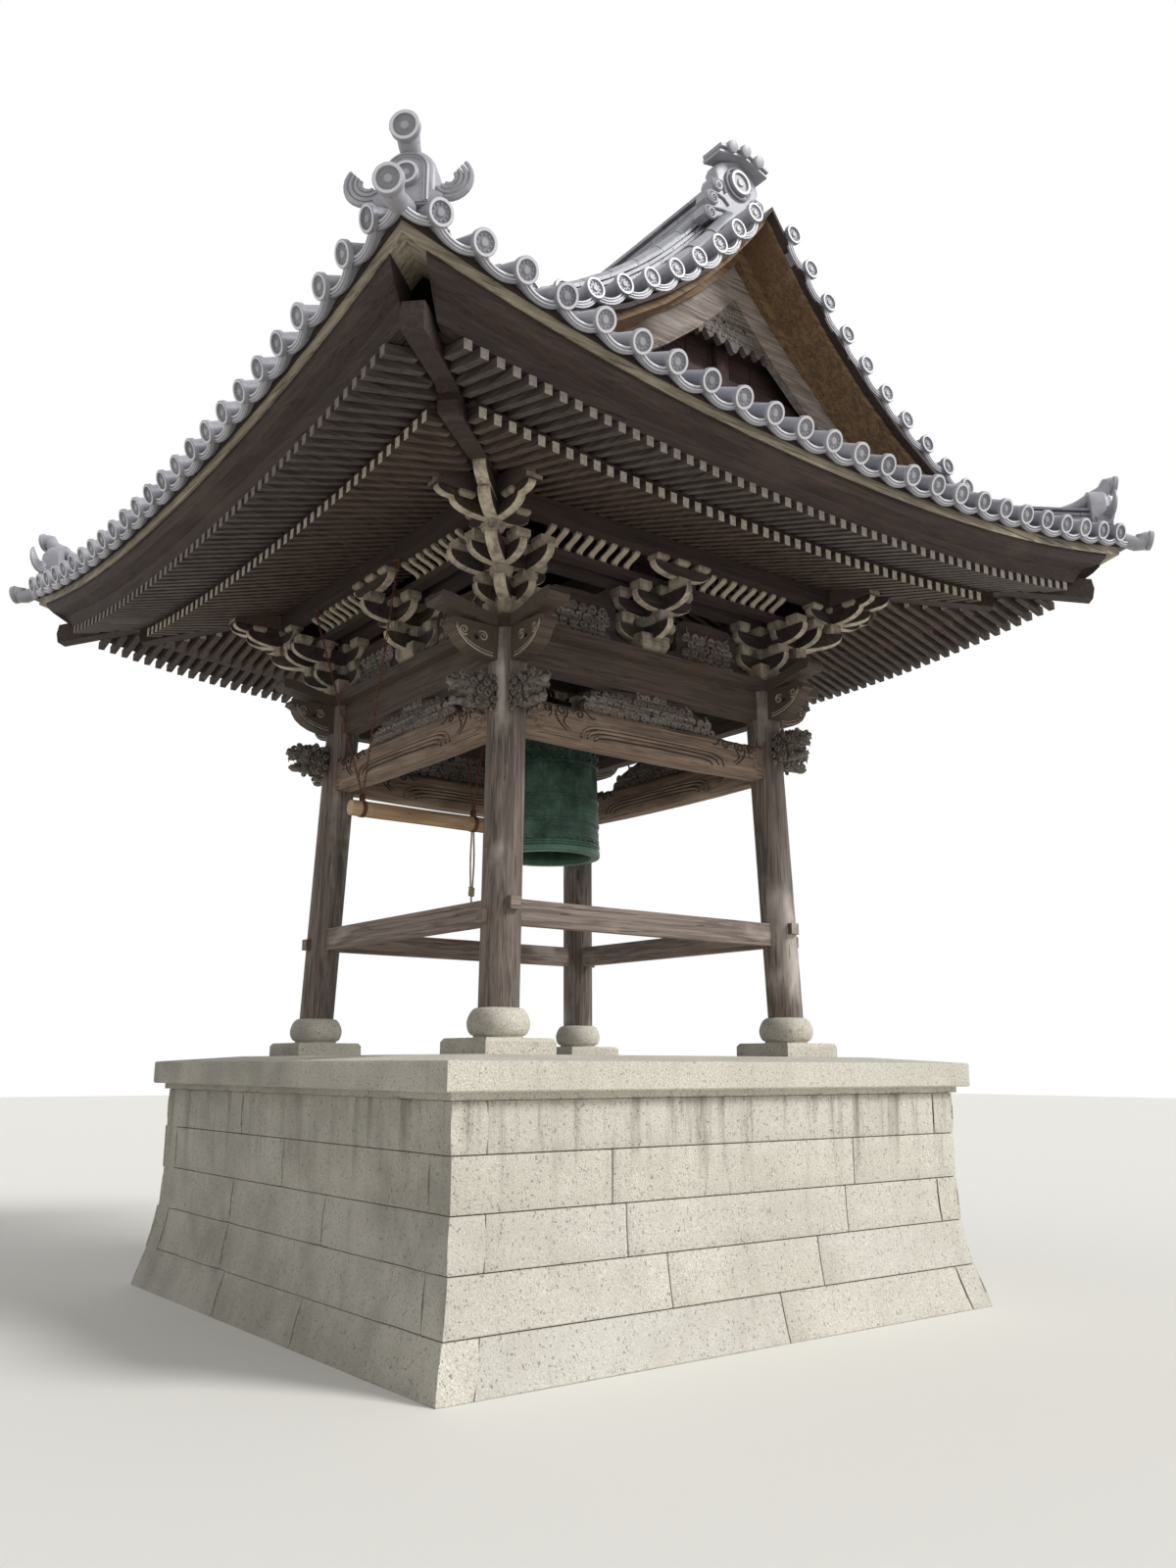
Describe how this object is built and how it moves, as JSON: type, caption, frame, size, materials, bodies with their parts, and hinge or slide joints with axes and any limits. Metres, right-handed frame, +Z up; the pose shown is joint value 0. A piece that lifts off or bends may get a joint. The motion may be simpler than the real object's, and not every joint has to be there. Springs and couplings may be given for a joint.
{
  "type": "bell tower",
  "caption": "Open temple bell tower: hip-and-gable tiled roof on leaning posts over a battered stone podium, with a hanging bronze bell and a swinging log striker.",
  "frame": {"origin": "centre of the podium's footprint, on the ground", "axes": "+Z up; +X along the front, to the right as seen by someone facing it; the front is the -Y side and has a gable over it; the log striker is on the -X side"},
  "size_m": [6.5048, 6.5048, 7.7964],
  "materials": {
    "granite": "rough split granite",
    "post_wood": "weathered bare timber",
    "beam_wood": "weathered carved timber",
    "dark_wood": "dark aged timber",
    "rafter_wood": "aged timber",
    "pale_wood": "pale weathered timber",
    "roof_tile": "matt grey fired clay",
    "green_bronze": "green patina",
    "rusty_iron": "rusty",
    "log_wood": "bare pale timber",
    "rope_fibre": "twisted natural fibre"
  },
  "bodies": {
    "tower": {"podium_wall": "granite", "podium_ledge": "granite", "podium_cap": "granite", "plinth_stones": "granite", "base_stones": "granite", "posts": "post_wood", "lower_rails": "post_wood", "rainbow_beams": "beam_wood", "lion_nosings": "beam_wood", "transom_carvings": "beam_wood", "head_ties": "dark_wood", "wall_plates": "dark_wood", "corner_brackets": "dark_wood", "middle_brackets": "dark_wood", "frieze_carvings": "dark_wood", "wall_purlins": "dark_wood", "step_purlins": "dark_wood", "eave_purlins": "dark_wood", "ribs_front_back": "dark_wood", "ribs_sides": "dark_wood", "base_rafters_front": "rafter_wood", "base_rafters_back": "rafter_wood", "base_rafters_left": "rafter_wood", "base_rafters_right": "rafter_wood", "flying_rafters_front": "rafter_wood", "flying_rafters_back": "rafter_wood", "flying_rafters_left": "rafter_wood", "flying_rafters_right": "rafter_wood", "hip_rafters": "rafter_wood", "flying_sills": "rafter_wood", "eave_fascias": "rafter_wood", "eave_boards": "pale_wood", "base_decks": "rafter_wood", "flying_decks": "rafter_wood", "roof_slopes": "roof_tile", "roof_skirts": "roof_tile", "slope_tile_rolls": "roof_tile", "skirt_tile_rolls": "roof_tile", "gable_walls": "dark_wood", "bargeboards": "pale_wood", "verge_boards": "pale_wood", "gable_pendants": "pale_wood", "main_ridge": "roof_tile", "ridge_end_tiles": "roof_tile", "descending_ridges": "roof_tile", "corner_ridges": "roof_tile", "corner_end_tiles": "roof_tile", "bell_beam": "dark_wood", "bell_hook": "rusty_iron", "bell": "green_bronze", "hanger_bar": "dark_wood", "sling_eyes": "rusty_iron"},
    "outer_sling": {"outer_sling": "rusty_iron"},
    "inner_sling": {"inner_sling": "rusty_iron"},
    "striker": {"striker_log": "log_wood", "pull_rope": "rope_fibre", "rope_strand": "rope_fibre", "rope_knot": "rope_fibre"}
  },
  "joints": [
    {"name": "outer_swing", "type": "hinge", "parent": "tower", "child": "outer_sling", "pos_m": [-1.55, 0, 4.8843], "axis": [0, 1, 0], "range_deg": [-3.1, 12]},
    {"name": "log_hang", "type": "hinge", "parent": "outer_sling", "child": "striker", "pos_m": [-1.55, 0, 3.339], "axis": [0, 1, 0], "range_deg": [-12, 3.1]},
    {"name": "inner_swing", "type": "hinge", "parent": "tower", "child": "inner_sling", "pos_m": [-0.66, 0, 4.8843], "axis": [0, 1, 0], "range_deg": [-3.1, 12]}
  ],
  "couplings": [
    {"joint": "log_hang", "follows": "outer_swing", "ratio": -1},
    {"joint": "inner_swing", "follows": "outer_swing", "ratio": 1}
  ]
}
